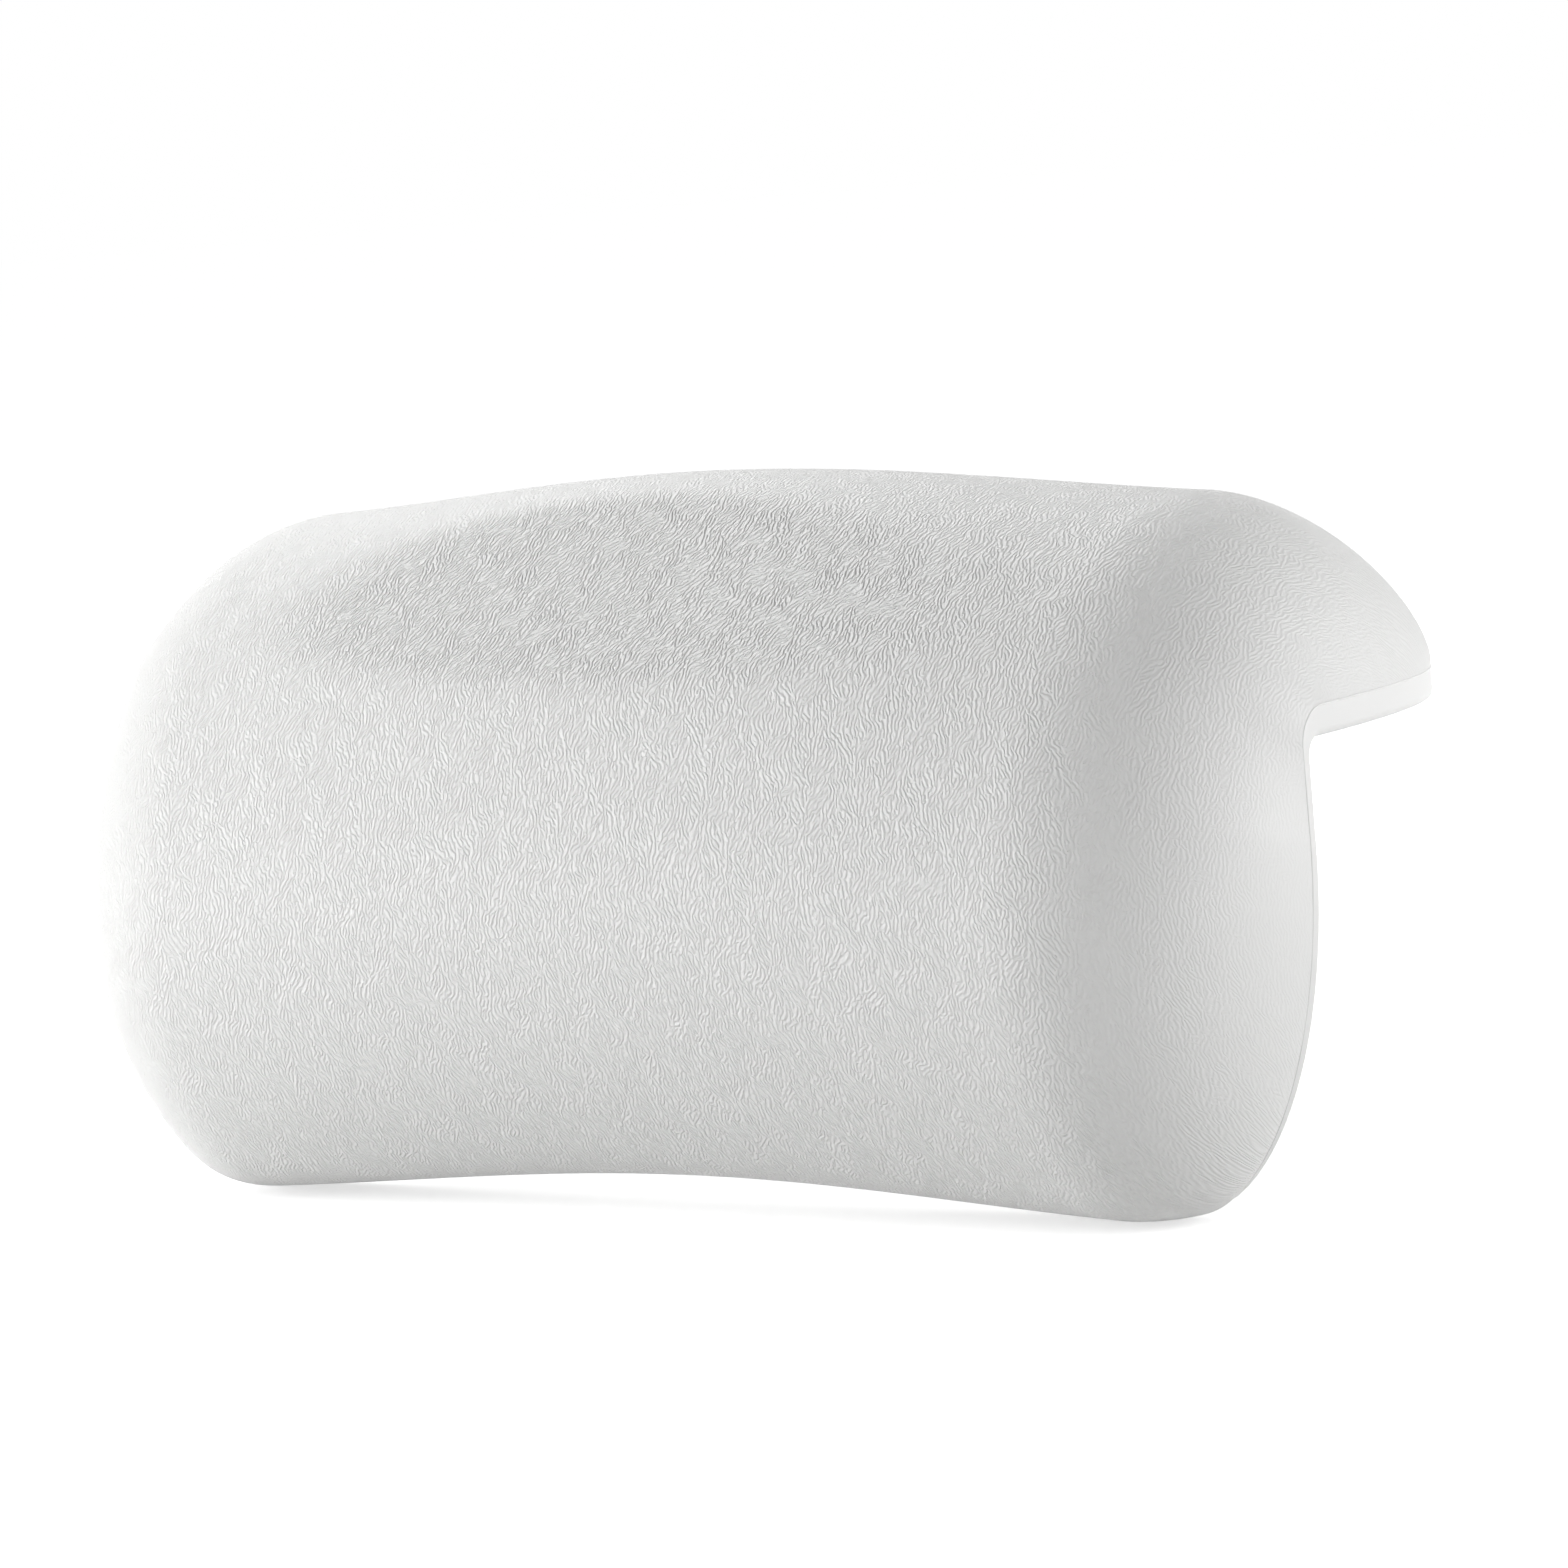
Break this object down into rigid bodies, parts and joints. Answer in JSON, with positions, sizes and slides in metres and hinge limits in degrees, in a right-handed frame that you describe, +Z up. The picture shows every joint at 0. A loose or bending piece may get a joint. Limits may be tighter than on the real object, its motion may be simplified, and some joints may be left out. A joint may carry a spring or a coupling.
{
  "type": "bath pillow",
  "caption": "Padded L-shaped head rest that hooks over the rim of a bathtub and holds by suction cups, with a grained skin and a flat scoop for the head.",
  "frame": {"origin": "middle of the hook's flat underside, where it sits on the rim of the tub", "axes": "+Z up, +X along the width, +Y from the front towards the wall side of the rim"},
  "size_m": [0.32, 0.1269, 0.1555],
  "materials": {
    "grained_skin": "satin",
    "smooth_skin": "satin",
    "foam": "matte",
    "plate": "matte",
    "housing": "satin",
    "cup": "gloss"
  },
  "bodies": {
    "pillow": {"front_skin": "grained_skin", "back_panel": "smooth_skin", "foam_core": "foam", "stiffener": "plate", "cup_housing_back_left": "housing", "cup_housing_back_right": "housing", "cup_housing_hook_left": "housing", "cup_housing_hook_right": "housing"},
    "cup_back_left": {"suction_cup_back_left": "cup"},
    "cup_back_right": {"suction_cup_back_right": "cup"},
    "cup_hook_left": {"suction_cup_hook_left": "cup"},
    "cup_hook_right": {"suction_cup_hook_right": "cup"}
  },
  "joints": [
    {"name": "swivel_back_left", "type": "hinge", "parent": "pillow", "child": "cup_back_left", "pos_m": [-0.085, -0.0365, -0.0545], "axis": [0, 1, 0], "continuous": true},
    {"name": "swivel_back_right", "type": "hinge", "parent": "pillow", "child": "cup_back_right", "pos_m": [0.085, -0.0365, -0.0545], "axis": [0, 1, 0], "continuous": true},
    {"name": "swivel_hook_left", "type": "hinge", "parent": "pillow", "child": "cup_hook_left", "pos_m": [-0.085, 0, 0], "axis": [0, 0, -1], "continuous": true},
    {"name": "swivel_hook_right", "type": "hinge", "parent": "pillow", "child": "cup_hook_right", "pos_m": [0.085, 0, 0], "axis": [0, 0, -1], "continuous": true}
  ]
}
